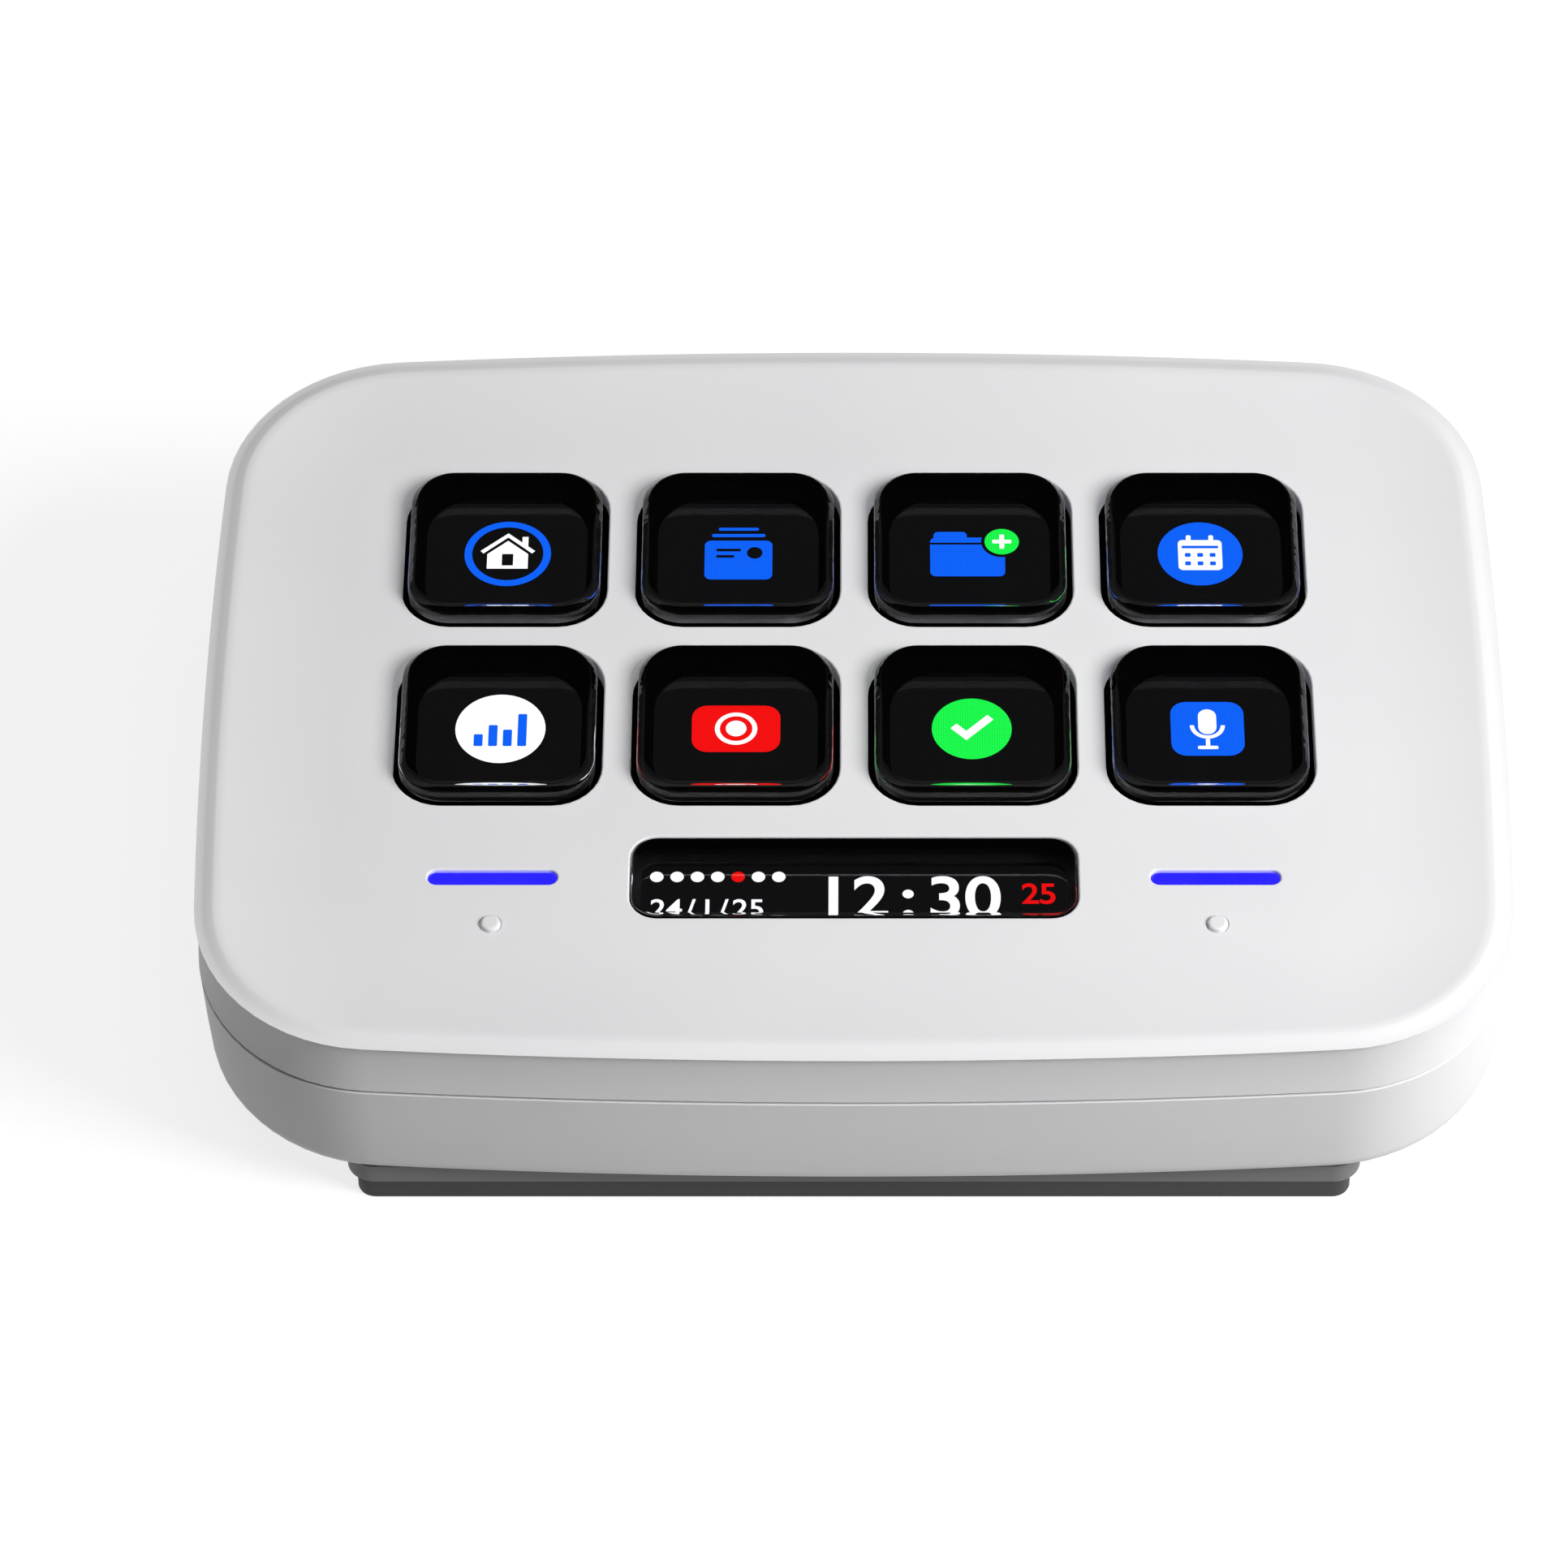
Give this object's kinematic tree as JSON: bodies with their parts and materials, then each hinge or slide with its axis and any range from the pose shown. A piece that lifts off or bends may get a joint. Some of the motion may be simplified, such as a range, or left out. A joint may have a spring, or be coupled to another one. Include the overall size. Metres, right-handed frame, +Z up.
{
  "type": "desk macro keypad",
  "caption": "Desk keypad with clear press keys over one display, a long info window with light bars, and a wedge foot that tilts it.",
  "frame": {"origin": "centre of the grip pad's underside, on the surface that the keypad stands on", "axes": "+X to the user's right along the keypad's length, +Y away from the user towards the data socket, +Z up"},
  "size_m": [0.107, 0.0781, 0.0268],
  "materials": {
    "white_shell": "fine moulded satin, pale grey-white",
    "black_frame": "black moulded plastic",
    "clear_cap": "polished clear plastic",
    "clear_lens": "polished clear plastic over a black display",
    "blue_light": "light guide lit blue from the display below",
    "silicone": "translucent grey silicone",
    "copper_patch": "thin copper sensing patch",
    "display_glass": "black display face",
    "light_guide": "white backlight unit",
    "tray_steel": "stamped sheet",
    "amber_ribbon": "polyimide ribbon",
    "green_board": "glass-fibre board with green mask",
    "black_chips": "moulded chip packages",
    "socket_steel": "drawn socket shell",
    "ballast_steel": "zinc-plated plate",
    "grey_grip": "warm grey rubber",
    "screw_steel": "zinc-plated screws"
  },
  "bodies": {
    "housing": {"top_cover": "white_shell", "bottom_shell": "white_shell", "stand_plinth": "white_shell", "key_frame": "black_frame", "info_window": "clear_lens", "light_bar_left": "blue_light", "light_bar_right": "blue_light", "touch_pad_left": "copper_patch", "touch_pad_right": "copper_patch", "display_panel": "display_glass", "backlight": "light_guide", "display_tray": "tray_steel", "display_flex": "amber_ribbon", "main_board": "green_board", "board_chips": "black_chips", "usb_c_socket": "socket_steel", "ballast_plate": "ballast_steel", "grip_pad": "grey_grip", "case_screws": "screw_steel", "plinth_screws": "screw_steel", "key_dome_1": "silicone", "key_dome_2": "silicone", "key_dome_3": "silicone", "key_dome_4": "silicone", "key_dome_5": "silicone", "key_dome_6": "silicone", "key_dome_7": "silicone", "key_dome_8": "silicone"},
    "key_1": {"key_cap_1": "clear_cap"},
    "key_2": {"key_cap_2": "clear_cap"},
    "key_3": {"key_cap_3": "clear_cap"},
    "key_4": {"key_cap_4": "clear_cap"},
    "key_5": {"key_cap_5": "clear_cap"},
    "key_6": {"key_cap_6": "clear_cap"},
    "key_7": {"key_cap_7": "clear_cap"},
    "key_8": {"key_cap_8": "clear_cap"}
  },
  "joints": [
    {"name": "key_1_press", "type": "slide", "parent": "housing", "child": "key_1", "axis": [0, 0.0785, -0.9969], "range_m": [0, 0.001], "stiffness_N_per_m": 300, "springref_m": -0.001, "deforming": ["key_dome_1"]},
    {"name": "key_2_press", "type": "slide", "parent": "housing", "child": "key_2", "axis": [0, 0.0785, -0.9969], "range_m": [0, 0.001], "stiffness_N_per_m": 300, "springref_m": -0.001, "deforming": ["key_dome_2"]},
    {"name": "key_3_press", "type": "slide", "parent": "housing", "child": "key_3", "axis": [0, 0.0785, -0.9969], "range_m": [0, 0.001], "stiffness_N_per_m": 300, "springref_m": -0.001, "deforming": ["key_dome_3"]},
    {"name": "key_4_press", "type": "slide", "parent": "housing", "child": "key_4", "axis": [0, 0.0785, -0.9969], "range_m": [0, 0.001], "stiffness_N_per_m": 300, "springref_m": -0.001, "deforming": ["key_dome_4"]},
    {"name": "key_5_press", "type": "slide", "parent": "housing", "child": "key_5", "axis": [0, 0.0785, -0.9969], "range_m": [0, 0.001], "stiffness_N_per_m": 300, "springref_m": -0.001, "deforming": ["key_dome_5"]},
    {"name": "key_6_press", "type": "slide", "parent": "housing", "child": "key_6", "axis": [0, 0.0785, -0.9969], "range_m": [0, 0.001], "stiffness_N_per_m": 300, "springref_m": -0.001, "deforming": ["key_dome_6"]},
    {"name": "key_7_press", "type": "slide", "parent": "housing", "child": "key_7", "axis": [0, 0.0785, -0.9969], "range_m": [0, 0.001], "stiffness_N_per_m": 300, "springref_m": -0.001, "deforming": ["key_dome_7"]},
    {"name": "key_8_press", "type": "slide", "parent": "housing", "child": "key_8", "axis": [0, 0.0785, -0.9969], "range_m": [0, 0.001], "stiffness_N_per_m": 300, "springref_m": -0.001, "deforming": ["key_dome_8"]}
  ]
}
